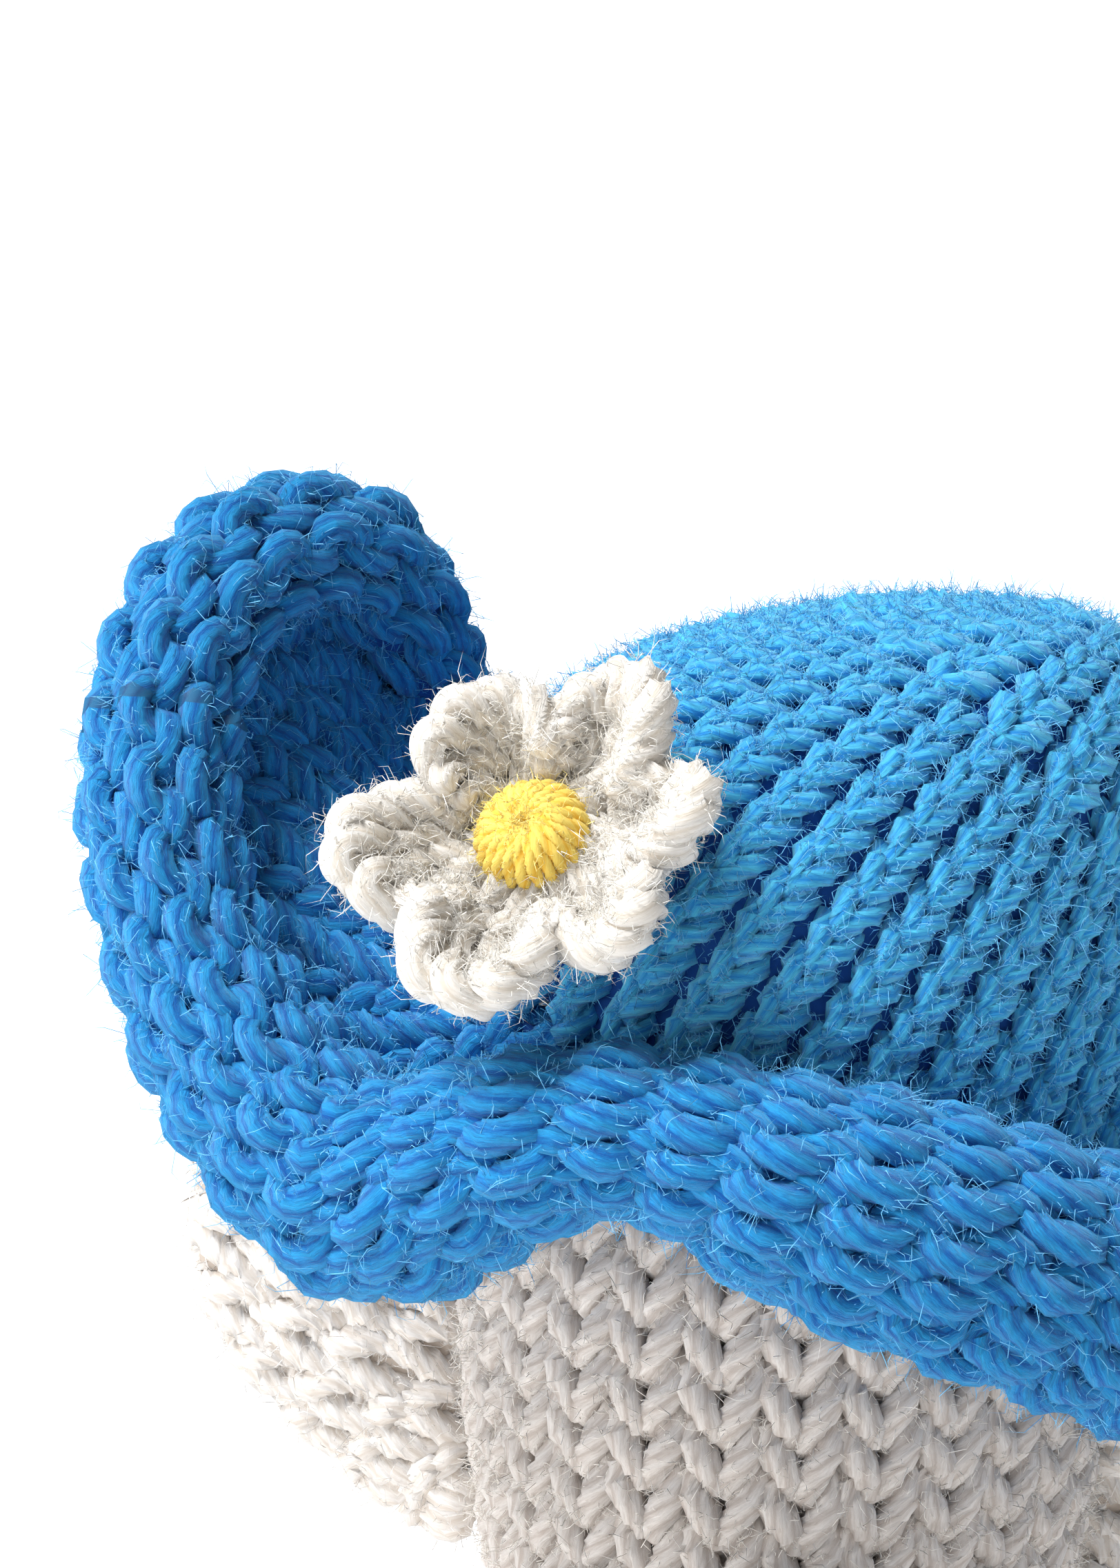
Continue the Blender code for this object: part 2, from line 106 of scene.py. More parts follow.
HAT_RIM = (
    (-90, (1.5, -32.6, 108.9), 7.2), (-60, (16, -30, 103), 7.8), (-30, (29, -19, 94), 8.2),
    (0, (36, -1, 86), 8), (30, (34, 16, 90), 7.6), (60, (21, 29, 97), 7.4),
    (90, (3, 33, 104), 7), (118, (-14, 30, 112.5), 6.2),
    (133, (-24.5, 23, 123.5), 5.8), (146, (-27.4, 19, 133.3), 5.6), (160, (-31.7, 15, 138.8), 5.4),
    (175, (-38.6, 7, 137.2), 5.3), (190, (-41.4, -3, 127.5), 5.2), (205, (-37.3, -12, 114.5), 5.8),
    (222, (-27.5, -21, 105.8), 7), (240, (-17.5, -28, 111), 5.6), (255, (-9.5, -30.6, 112.5), 5),
)
BRIM_SEAM = math.radians(187)
FLOWER_CENTRE = (-16.5, -21, 127.8)     # 0.8 lower than the part's, so that the petals rest on the yarn
FLOWER_FACING = (-0.3, -0.65, 0.7)
# petals of the flower: direction of its middle and of the fold before it, in degrees, and reach
PETALS = ((40, 10, 11), (98, 66, 9), (178, 144, 10.8), (245, 212, 11.8), (300, 276, 11.4), (346, 322, 11.2))
FLOWER_HEART = 1.8      # radius where the petals begin
POSTS = 4               # posts in each petal
# chains round each petal: place outwards, links, swing outwards, lift and radius of the yarn
CHAINS = ((0.97, 5, 0.09, 0.9, 1.4), (0.72, 4, 0.09, 0.5, 1.25))
THREADS = 24            # turns of thread in the flower's centre
SIDES = {"left": 1, "right": -1}

# ---- knitting ----
STITCH = 4.8            # width of a stitch
ROW = 3.6               # height of a row
LOOP = 0.86             # half the height of a loop, in rows
LEAN = 0.27             # how far a loop narrows at its neck, per stitch
BULGE = 0.95            # how far the legs of a loop stand out of the fabric
SKIN = 1.7              # depth of the fabric's middle below its outer surface
HEAD_PHASE = -0.47      # turn of the head's columns of stitches, per stitch
CROWN_ROW = 2.7         # height of a row in the crown
CROWN_COLUMNS = ((105, 44), (48, 22), (0, 11))  # columns of stitches where the crown is wider than this
BRIM_COLUMNS = (52, 37)     # columns in the brim's roll, and from the roll to the crown
BRIM_ROWS = 16
ROLL_END = 0.57         # share of the brim's rows that lie in its roll
PIECE_FACES = 90000     # quads after which a piece is full
PIECE_FIBRES = 18000    # most loose fibres in one piece
SHORT_RUN = 8           # points in the longest stretch of a row that is too short to be knitted
FIBRE_SIZE = 0.028      # radius of a loose fibre
FILLING_DEPTH = 0.7     # depth of the filling's surface below the fabric's middle

# ---- floor, light and camera ----
FLOOR_SIDES = 96
FLOOR_FLAT = 4000       # radius of the level part; beyond it the floor rises and hides the horizon
FLOOR_EDGE = 9000
FLOOR_RISE = 1500
WORLD_LIGHT = 0.12
# suns: where from, width in degrees and strength
SUNS = {"key": ((-0.44, -0.04, 0.9), 30, 4.8), "fill": ((-0.3, -0.9, 0.35), 90, 0.24)}
SIDE_LIGHT_PLACE = (-420, -160, 60)
SIDE_LIGHT_TARGET = (0, 0, 90)
SIDE_LIGHT_WIDTH = 300
SIDE_LIGHT_POWER = 1.1
CAMERA_TARGET = (-15.3, 0, 126.3)
CAMERA_DISTANCE = 300
CAMERA_ELEVATION = math.radians(15)
LENS = 104.0


# ---- arrays ----
def unit(vectors):
    return vectors / np.maximum(np.linalg.norm(vectors, axis=-1, keepdims=True), 1e-9)


def smooth(points, steps):
    """Points on a Catmull-Rom curve, steps per span."""
    knots = np.array(points, float)
    ends = np.vstack([2 * knots[0] - knots[1], knots, 2 * knots[-1] - knots[-2]])
    t = (np.arange(steps) / steps)[:, None]
    curve = []
    for span in range(len(knots) - 1):
        before, start, end, after = ends[span:span + 4]
        slope = end - before
        square = 2 * before - 5 * start + 4 * end - after
        cube = 3 * start - before - 3 * end + after
        curve.append(0.5 * (2 * start + slope * t + square * t ** 2 + cube * t ** 3))
    return np.vstack(curve + [knots[-1:]])


def spread(line, count):
    """The same line through count points that are evenly apart."""
    reach = np.r_[0, np.cumsum(np.linalg.norm(np.diff(line, axis=0), axis=1))]
    places = np.linspace(0, reach[-1], count)
    return np.stack([np.interp(places, reach, line[:, axis]) for axis in range(line.shape[1])], axis=1)


def even(grid, rows):
    """A grid whose columns each hold rows points that are evenly apart."""
    return np.stack([spread(grid[:, index], rows) for index in range(grid.shape[1])], axis=1)


class Fabric:
    """A surface through a grid of points, closed around its rows unless open.

    foot holds, for each column, the share of the height below which nothing is knitted.
    """

    def __init__(self, grid, closed=True, inset=0.0, foot=None):
        self.closed = closed
        self.foot = foot
        self.grid = np.array(grid, float)
        self.normals = self.find_normals()
        if inset:
            self.grid = self.grid - self.normals * inset
            self.normals = self.find_normals()
        self.rows, self.columns = self.grid.shape[:2]

    def find_normals(self):
        grid = self.grid
        if self.closed:
            along = np.roll(grid, -1, 1) - np.roll(grid, 1, 1)
        else:
            along = np.gradient(grid, axis=1)
        return unit(np.cross(along, np.gradient(grid, axis=0)))

    def at(self, turn, row):
        """Points and normals at shares of the way round and up the fabric."""
        if self.closed:
            across = (turn % 1) * self.columns
            left = np.floor(across).astype(int)
            right = (left + 1) % self.columns
            left_index = left % self.columns
        else:
            across = np.clip(turn, 0, 1) * (self.columns - 1)
            left = np.minimum(np.floor(across).astype(int), self.columns - 2)
            left_index, right = left, left + 1
        share = (across - left)[:, None]
        up = np.clip(row, 0, 1) * (self.rows - 1)
        low = np.minimum(np.floor(up).astype(int), self.rows - 2)
        rise = (up - low)[:, None]

        def mix(values):
            lower = values[low, left_index] * (1 - share) + values[low, right] * share
            upper = values[low + 1, left_index] * (1 - share) + values[low + 1, right] * share
            return lower * (1 - rise) + upper * rise

        return mix(self.grid), unit(mix(self.normals))

    def runs(self, turn, row):
        """Stretches of a row that lie above the foot."""
        if self.foot is None:
            return None
        around = np.arange(self.columns + 1) / self.columns
        lowest = np.interp(turn % 1, around, np.r_[self.foot, self.foot[:1]])
        above = row > lowest
        if above.all():
            return None
        first = int(np.argmin(above))
        order = np.roll(np.arange(len(turn)), -first)
        steps = np.flatnonzero(np.diff(above[order].astype(int))) + 1
        return [part for part in np.split(order, steps) if above[part[0]] and len(part) > SHORT_RUN]

    def width(self, row):
        """Length of the fabric along a row."""
        line = self.grid[int(round(row * (self.rows - 1)))]
        if self.closed:
            line = np.vstack([line, line[:1]])
        return np.linalg.norm(np.diff(line, axis=0), axis=1).sum()

    def height(self):
        return np.linalg.norm(np.diff(self.grid, axis=0), axis=2).sum(axis=0).mean()


# ---- meshes ----
def mesh_piece(name, points, faces, surface, strand=None, groove=None):
    """A piece from points in millimetres and arrays of faces."""
    mesh = bpy.data.meshes.new(name)
    mesh.vertices.add(len(points))
    mesh.vertices.foreach_set("co", (np.asarray(points) * MM).astype(np.float32).ravel())
    corners = np.concatenate([group.ravel() for group in faces])
    totals = np.concatenate([np.full(len(group), group.shape[1]) for group in faces])
    starts = np.r_[0, np.cumsum(totals)[:-1]]
    mesh.loops.add(len(corners))
    mesh.loops.foreach_set("vertex_index", corners.astype(np.int32))
    mesh.polygons.add(len(totals))
    mesh.polygons.foreach_set("loop_start", starts.astype(np.int32))
    mesh.polygons.foreach_set("loop_total", totals.astype(np.int32))
    mesh.polygons.foreach_set("use_smooth", np.ones(len(totals), bool))
    mesh.update(calc_edges=True)
    if strand is not None:
        attribute = mesh.attributes.new("strand", "FLOAT_VECTOR", "POINT")
        attribute.data.foreach_set("vector", strand.astype(np.float32).ravel())
        # groove carries the mask of painted shade between the plies.
        attribute = mesh.attributes.new("groove", "FLOAT", "POINT")
        attribute.data.foreach_set("value", groove.astype(np.float32).ravel())
    mesh.materials.append(surface)
    piece = bpy.data.objects.new(name, mesh)
    bpy.context.scene.collection.objects.link(piece)
    return piece


class Yarn:
    """Strands of one kind that are gathered into pieces riding one body."""

    def __init__(self, name, body, surface, slot, replaces=(), radius=1.1, plies=0, sides=8, groove=0.3,
                 pitch=9.0, seed=1):
        self.name, self.body, self.surface, self.slot, self.replaces = name, body, surface, slot, replaces
        self.radius, self.plies, self.sides, self.groove, self.pitch = radius, plies, sides, groove, pitch
        self.random = np.random.default_rng(seed)
        self.pieces = []
        self.lines = []
        self.length = 0
        self.clear()

    def clear(self):
        self.points, self.strands, self.grooves, self.quads, self.caps = [], [], [], [], []
        self.count = 0
        self.faces = 0

    def spin(self, path, guide, radius=None, closed=True, shown=None):
        """One strand along path; guide points out of the fabric and shown marks what lies on its face."""
        size = self.radius if radius is None else radius
        samples = len(path)
        if closed:
            ahead, behind = np.roll(path, -1, 0), np.roll(path, 1, 0)
        else:
            ahead, behind = np.vstack([path[1:], path[-1:]]), np.vstack([path[:1], path[:-1]])
        tangent = unit(ahead - behind)
        side = unit(np.cross(tangent, guide))
        up = np.cross(side, tangent)
        steps = np.linalg.norm(np.diff(path, axis=0), axis=1)
        reach = np.r_[0, np.cumsum(steps)]
        whole = reach[-1] + (np.linalg.norm(path[0] - path[-1]) if closed else 0)
        turns = round(whole / self.pitch) if closed else whole / self.pitch
        start = self.random.uniform(0, TURN)
        spokes = TURN * np.arange(self.sides) / self.sides
        angle = start + TURN * turns * (reach / whole)[:, None] + spokes
        crest = np.abs(np.sin(self.plies * spokes / 2)) if self.plies else np.ones(self.sides)
        outline = 1 - self.groove * (1 - crest) ** 1.5
        width = np.broadcast_to(size, (samples,))[:, None]
        if not closed:
            taper = np.minimum(reach, whole - reach)[:, None] / (0.8 * width)
            width = width * np.sqrt(np.clip(1 - (1 - np.clip(taper, 0.03, 1)) ** 2, 0.03, 1))
        unevenness = 1 + 0.05 * np.sin(reach[:, None] * 2.1 + self.random.uniform(0, TURN))
        rim = (width * unevenness * outline)[..., None]
        spoke_out = np.cos(angle)[..., None] * up[:, None] + np.sin(angle)[..., None] * side[:, None]
        ring = path[:, None] + rim * spoke_out
        around = np.broadcast_to(spokes, (samples, self.sides))
        along = np.broadcast_to(reach[:, None] * 0.16 + self.random.uniform(0, 50), (samples, self.sides))
        self.strands.append(np.stack([np.cos(around), np.sin(around), along], axis=2).reshape(-1, 3))
        # The groove value marks where the material paints shade between the plies.
        self.grooves.append(np.broadcast_to((1 - crest) ** 1.5, (samples, self.sides)).reshape(-1))
        self.points.append(ring.reshape(-1, 3))
        low = np.arange(samples if closed else samples - 1)[:, None]
        high = (low + 1) % samples
        spoke = np.arange(self.sides)[None]
        after = (spoke + 1) % self.sides
        low, high = low * self.sides, high * self.sides
        quads = np.stack([low + spoke, low + after, high + after, high + spoke], axis=2).reshape(-1, 4)
        self.quads.append(quads + self.count)
        if not closed:
            caps = np.stack([np.arange(self.sides)[::-1], (samples - 1) * self.sides + np.arange(self.sides)])
            self.caps.append(caps + self.count)
        self.count += samples * self.sides
        self.faces += len(quads)
        kept = np.ones(samples, bool) if shown is None else shown
        self.lines.append((path[kept], up[kept], side[kept], np.broadcast_to(size, (samples,))[kept]))
        self.length += steps.sum() * kept.mean()
        if self.faces > PIECE_FACES:
            self.gather()

    def gather(self):
        """Makes a piece of the strands spun so far."""
        if not self.points:
            return
        name = f"{self.name}_{len(self.pieces) + 1}"
        faces = [np.vstack(self.quads)] + ([np.vstack(self.caps)] if self.caps else [])
        piece = mesh_piece(name, np.vstack(self.points), faces, self.surface, np.vstack(self.strands),
                           np.concatenate(self.grooves))
        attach(piece, self.body)
        if self.replaces:
            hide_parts(*self.replaces)
        self.pieces.append(piece)
        self.clear()

    def fluff(self, per_mm, length, surface, flat=0.9, around=0.9, seed=5):
        """Fine loose fibres that curl out of the strands.

        flat lays them along the strands; around spreads them from the face of the fabric round the strand.
        Fibres that would reach below the floor are left out.
        """
        rng = np.random.default_rng(seed)
        centres, ups, sides, sizes = (np.concatenate(values) for values in zip(*self.lines))
        count = int(self.length * per_mm)
        chosen = rng.integers(0, len(centres), count)
        angle = rng.normal(0, around, count)[:, None]
        out = np.cos(angle) * ups[chosen] + np.sin(angle) * sides[chosen]
        along = unit(np.cross(ups[chosen], sides[chosen]))
        slide = rng.uniform(-0.3, 0.3, (count, 1))
        heading = unit(out + along * rng.normal(0, flat, (count, 1)) + rng.normal(0, 0.3, (count, 3)))
        across = unit(np.cross(heading, rng.normal(0, 1, (count, 3))))
        bend = np.cross(heading, across)
        reach = (length * np.minimum(rng.gamma(2.5, 0.4, count), 2.2))[:, None]
        curl = rng.uniform(1.4, 3.4, (count, 1))
        root = centres[chosen] + along * slide + out * (sizes[chosen] * 0.92)[:, None]
        rings = []
        for share in (0.0, 0.5):
            angle = curl * share
            centre = root + reach / curl * (np.sin(angle) * heading + (1 - np.cos(angle)) * bend)
            for index in range(3):
                turn = TURN * index / 3
                rings.append(centre + FIBRE_SIZE * (math.cos(turn) * across + math.sin(turn) * bend))
        rings.append(root + reach / curl * (np.sin(curl) * heading + (1 - np.cos(curl)) * bend))
        corners = len(rings)
        points = np.stack(rings, axis=1)
        points = points[points[..., 2].min(axis=1) > 0]
        count = len(points)
        points = points.reshape(-1, 3)
        walls = np.array([(0, 1, 4, 3), (1, 2, 5, 4), (2, 0, 3, 5)])
        ends = np.array([(2, 1, 0), (3, 4, 6), (4, 5, 6), (5, 3, 6)])
        for number, first in enumerate(range(0, count, PIECE_FIBRES)):
            amount = min(PIECE_FIBRES, count - first)
            base = (np.arange(amount) * corners)[:, None, None]
            part = points[first * corners:(first + amount) * corners]
            groups = [(walls[None] + base).reshape(-1, 4), (ends[None] + base).reshape(-1, 3)]
            piece = mesh_piece(f"{self.name}_fluff_{number + 1}", part, groups, surface)
            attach(piece, self.body)


def grid_quads(rows, columns, spans):
    """Quads between neighbouring points of a grid; spans counts the steps along a row."""
    low = np.arange(rows - 1)[:, None] * columns
    left = np.arange(spans)[None]
    right = (left + 1) % columns
    high = low + columns
    return np.stack([low + left, low + right, high + right, high + left], axis=2).reshape(-1, 4)


def lining(name, fabric, half, body, surface, lift=0.0):
    """A closed thin sheet in the middle of a fabric, seen between its stitches and coloured by its callers as
    painted shade.
    """
    rows, columns = fabric.rows, fabric.columns
    middle = fabric.grid + fabric.normals * lift
    outer = (middle + fabric.normals * half).reshape(-1, 3)
    inner = (middle - fabric.normals * half).reshape(-1, 3)
    spans = columns if fabric.closed else columns - 1
    front = grid_quads(rows, columns, spans)
    size = rows * columns
    back = front[:, ::-1] + size
    left = np.arange(spans)
    right = (left + 1) % columns
    top = (rows - 1) * columns
    seams = [(right, left), (left + top, right + top)]
    if not fabric.closed:
        low = np.arange(rows - 1) * columns
        high = low + columns
        end = columns - 1
        seams += [(low, high), (high + end, low + end)]
    edges = [np.stack([start, stop, stop + size, start + size], axis=1) for start, stop in seams]
    piece = mesh_piece(name, np.vstack([outer, inner]), [np.vstack([front, back] + edges)], surface)
    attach(piece, body)


def form(name, fabric, depth, body, surface):
    """A closed solid that fills a round fabric, its surface at depth below the fabric's middle; its caller
    colours it as painted shade.
    """
    rows, columns = fabric.rows, fabric.columns
    points = fabric.grid - fabric.normals * depth
    around = grid_quads(rows, columns, columns)
    ends = np.stack([np.arange(columns)[::-1], (rows - 1) * columns + np.arange(columns)])
    piece = mesh_piece(name, points.reshape(-1, 3), [around, ends], surface)
    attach(piece, body)
    return piece


# ---- materials ----
def wool(name, light, dark, fuzz, bump=0.3):
    """Yarn with fibres along the strand, with painted shade between its plies and a random tone along its
    fibres.
    """
    made = bpy.data.materials.new(name)
    made.use_nodes = True
    nodes, links = made.node_tree.nodes, made.node_tree.links
    shader = nodes["Principled BSDF"]
    shader.inputs["Roughness"].default_value = 0.9
    shader.inputs["Specular IOR Level"].default_value = 0.2
    shader.inputs["Sheen Weight"].default_value = fuzz
    shader.inputs["Sheen Roughness"].default_value = 0.4
    shader.inputs["Sheen Tint"].default_value = (*(0.4 + 0.6 * value for value in light), 1)
    strand = nodes.new("ShaderNodeAttribute")
    strand.attribute_name = "strand"
    groove = nodes.new("ShaderNodeAttribute")
    groove.attribute_name = "groove"
    fibres = nodes.new("ShaderNodeTexNoise")
    fibres.inputs["Scale"].default_value = 6.5
    fibres.inputs["Detail"].default_value = 5
    fibres.inputs["Roughness"].default_value = 0.7
    links.new(strand.outputs["Vector"], fibres.inputs["Vector"])
    # Painted shade: the groove attribute pushes the colour towards dark between the plies, added to the
    # fibres' random tone.
    narrow = nodes.new("ShaderNodeMath")
    narrow.operation = "POWER"
    links.new(groove.outputs["Fac"], narrow.inputs[0])
    narrow.inputs[1].default_value = 1.8
    depth = nodes.new("ShaderNodeMath")
    depth.operation = "MULTIPLY_ADD"
    links.new(narrow.outputs["Value"], depth.inputs[0])
    depth.inputs[1].default_value = 0.35
    links.new(fibres.outputs["Fac"], depth.inputs[2])
    ramp = nodes.new("ShaderNodeValToRGB")
    ramp.color_ramp.elements[0].position = 0.38
    ramp.color_ramp.elements[0].color = (*light, 1)
    ramp.color_ramp.elements[1].position = 0.85
    ramp.color_ramp.elements[1].color = (*dark, 1)
    links.new(depth.outputs["Value"], ramp.inputs["Fac"])
    links.new(ramp.outputs["Color"], shader.inputs["Base Color"])
    relief = nodes.new("ShaderNodeBump")
    relief.inputs["Strength"].default_value = bump
    relief.inputs["Distance"].default_value = 0.35 * MM
    links.new(fibres.outputs["Fac"], relief.inputs["Height"])
    links.new(relief.outputs["Normal"], shader.inputs["Normal"])
    return made


def plain(name, color, roughness):
    made = bpy.data.materials.new(name)
    made.use_nodes = True
    shader = made.node_tree.nodes["Principled BSDF"]
    shader.inputs["Base Color"].default_value = (*color, 1)
    shader.inputs["Roughness"].default_value = roughness
    return made


# ---- knitting ----
def knit(yarn, fabric, columns, samples, phase=0.0, bulge=BULGE, loop=LOOP, lean=LEAN, pinch=0.0, tuck=0.0,
         loose=0.12, rows=None, both_faces=False):
    """Rows of stockinette, whose legs stand out on the side that the fabric's normals point to.

    columns is a count, halved where the fabric narrows, or a function of the level that gives it; samples
    are the points in each stitch. pinch draws the two legs of a stitch together, most at the foot, and
    leaves furrows between the columns; tuck sinks the feet of the loops behind the heads on the other side.
    The yarn stays above the floor.
    """
    rows = rows or max(int(round(fabric.height() / ROW)), 2)
    for row in range(rows):
        level = (row + 0.5) / rows
        width = fabric.width(level)
        if callable(columns):
            stitches = columns(level)
        else:
            halvings = max(int(round(math.log2(max(columns * STITCH / width, 1)))), 0)
            stitches = max(columns // 2 ** halvings, 4)
        narrow = min(width / stitches / STITCH, 1.15)
        count = stitches * samples
        place = np.arange(count + (0 if fabric.closed else 1)) / samples
        t = TURN * place
        wander = yarn.random.normal(0, loose, (3, 2 * stitches + 2))
        wander[:, -2:] = wander[:, :2]
        knots = np.arange(2 * stitches + 2)
        shift, lift, swell = (np.interp(2 * place % (2 * stitches), knots, values) for values in wander)
        sway = lean * np.sin(2 * t) - pinch * (1 - 0.8 * level) * np.sin(t)
        turn = (place + sway + phase) / stitches + shift * 0.5 / max(width, 1)
        up = (row + 0.5 + loop * np.cos(t) + lift * 0.35) / rows
        points, normals = fabric.at(turn, up)
        height = -bulge * np.cos(2 * t) - tuck * np.cos(t) + swell * 0.6
        path = points + normals * height[:, None]
        shown = np.ones(len(path), bool) if both_faces else height > -0.3 * bulge
        size = yarn.radius * narrow ** 0.6
        path[:, 2] = np.maximum(path[:, 2], size)
        runs = fabric.runs(turn, up)
        if runs is None:
            yarn.spin(path, normals, size, fabric.closed, shown)
        else:
            for run in runs:
                yarn.spin(path[run], normals[run], size, False, shown[run])


# ---- round forms ----
def turned_fabric(profile):
    """An outline of radius and height turned round, flatter from front to back."""
    steps = 120
    line = spread(smooth(profile, 10), steps)
    angles = TURN * np.arange(steps) / steps
    radius, height = line[:, :1], line[:, 1:]
    width, depth = radius * np.cos(angles), radius * DEPTH * np.sin(angles)
    return Fabric(np.stack([width, depth, np.broadcast_to(height, width.shape)], axis=2), inset=SKIN)


def limb_fabric(path, radii):
    """A round limb from its tip to its root, both ends domed."""
    path, radii = np.array(path, float), np.array(radii, float)
    first, last = unit(path[0] - path[1]), unit(path[-1] - path[-2])
    turns = np.radians(np.linspace(8, 82, 10))[:, None]
    centres = np.vstack([path[0] + first * radii[0] * np.cos(turns), path,
                         path[-1] + last * radii[-1] * np.cos(turns[::-1])])
    sizes = np.r_[radii[0] * np.sin(turns[:, 0]), radii, radii[-1] * np.sin(turns[::-1, 0])]
    tangents = unit(np.gradient(centres, axis=0))
    aside = np.array((1.0, 0.0, 0.0)) if abs(tangents[0][0]) < 0.6 else np.array((0.0, 0.0, 1.0))
    side = unit(aside - tangents * (tangents @ aside)[:, None])
    up = np.cross(tangents, side)
    angles = (TURN * np.arange(72) / 72)[None, :, None]
    out = np.cos(angles) * side[:, None] + np.sin(angles) * up[:, None]
    return Fabric(even(centres[:, None] + sizes[:, None, None] * out, 80), inset=SKIN)


def mirrored(point, side):
    return (point[0] * side, point[1], point[2])


# ---- hat ----
def crown_edge(angle):
    return np.array((HAT_CENTRE[0] + HAT_RADII[0] * math.cos(angle), HAT_RADII[1] * math.sin(angle),
                     HAT_CENTRE[2] - HAT_FALL[0] * math.cos(angle) - HAT_FALL[1] * math.sin(angle)))


def crown_point(angle, reach):
    edge = crown_edge(angle)
    rise = (1 - reach ** HAT_FULLNESS) ** (1 / HAT_FULLNESS)
    flat = [pole + (place - pole) * reach for pole, place in zip(HAT_POLE, edge)]
    return np.array((*flat, edge[2] + (HAT_TOP - edge[2]) * rise))


def rim_at(angle):
    """Centre and radius of the rolled rim."""
    knots = [math.radians(row[0]) for row in HAT_RIM]
    count = len(knots)
    angle = (angle - knots[0]) % TURN + knots[0]
    span = max(index for index in range(count) if knots[index] <= angle + 1e-9)
    places = [np.array((*row[1], row[2]), float) for row in HAT_RIM]

    def knot(index):
        return knots[index % count] + TURN * (index // count)

    def slope(index):
        change = places[(index + 1) % count] - places[(index - 1) % count]
        return change / (knot(index + 1) - knot(index - 1))

    step = knot(span + 1) - knot(span)
    t = (angle - knot(span)) / step
    start, end = places[span], places[(span + 1) % count]
    value = (start * (2 * t ** 3 - 3 * t * t + 1) + slope(span) * step * (t ** 3 - 2 * t * t + t)
             + end * (3 * t * t - 2 * t ** 3) + slope(span + 1) * step * (t ** 3 - t * t))
    return value[:3], value[3]


def rim_frame(angle):
    """Centre and radius of the rolled rim, with the directions away from the crown and over the rim."""
    centre, radius = rim_at(angle)
    along = unit(rim_at(angle + 0.02)[0] - rim_at(angle - 0.02)[0])
    outward = centre - crown_edge(angle)
    outward = unit(outward - along * (outward @ along))
    return centre, radius, outward, np.cross(outward, along)


def brim_line(angle):
    """The fabric's middle from the crown's edge through the brim and round its roll."""
    centre, radius, outward, over = rim_frame(angle)
    edge = crown_edge(angle)
    distance = np.linalg.norm(centre - edge)
    near = min(max((radius * 2 - distance) / radius, 0), 1)
    inner = radius - SKIN
    entry = -math.radians(80) * near
    end = math.radians(292 - 30 * near)
    join = centre + inner * (math.sin(entry) * outward - math.cos(entry) * over)
    leaving = math.cos(entry) * outward + math.sin(entry) * over
    gap = np.linalg.norm(join - edge)
    drop = np.array((0, 0, -max(gap * 0.4, 4.0)))
    t = np.linspace(0, 1, 24, endpoint=False)[:, None]
    lead = (edge * (2 * t ** 3 - 3 * t * t + 1) + drop * (t ** 3 - 2 * t * t + t)
            + join * (3 * t * t - 2 * t ** 3) + leaving * max(gap * 0.8, 3.0) * (t ** 3 - t * t))
    turn = np.linspace(entry, end, 48)[:, None]
    tightening = 1 - 0.16 * np.clip((turn - math.pi) / (end - math.pi), 0, 1) ** 2
    roll = centre + inner * tightening * (np.sin(turn) * outward - np.cos(turn) * over)
    return np.vstack([lead, roll])


def crown_fabric():
    """The middle of the crown's wall, in rows from its edge to its top."""
    angles = TURN * np.arange(120) / 120
    reaches = np.r_[np.linspace(0.9995, 0.94, 8, endpoint=False), np.linspace(0.94, 0.05, 60)]
    grid = np.array([[crown_point(angle, reach) for angle in angles] for reach in reaches])
    return Fabric(even(grid, 50), inset=HAT_WALL_MIDDLE)


def crown_height(flat):
    """Heights of the crown's edge and of its surface over points of the ground plan, and which lie inside."""
    centre, radii, pole = np.array(HAT_CENTRE[:2]), np.array(HAT_RADII), np.array(HAT_POLE)
    ray = (flat - pole) / radii
    from_centre = (pole - centre) / radii
    square = np.maximum((ray ** 2).sum(-1), 1e-9)
    half = (ray * from_centre).sum(-1)
    reach = (np.sqrt(half ** 2 + square * (1 - (from_centre ** 2).sum())) - half) / square
    edge = from_centre + ray * reach[..., None]
    angle = np.arctan2(edge[..., 1], edge[..., 0])
    low = HAT_CENTRE[2] - HAT_FALL[0] * np.cos(angle) - HAT_FALL[1] * np.sin(angle)
    rise = np.clip(1 - np.clip(1 / reach, 0, 1) ** HAT_FULLNESS, 0, 1) ** (1 / HAT_FULLNESS)
    return low, low + (HAT_TOP - low) * rise, reach > 1


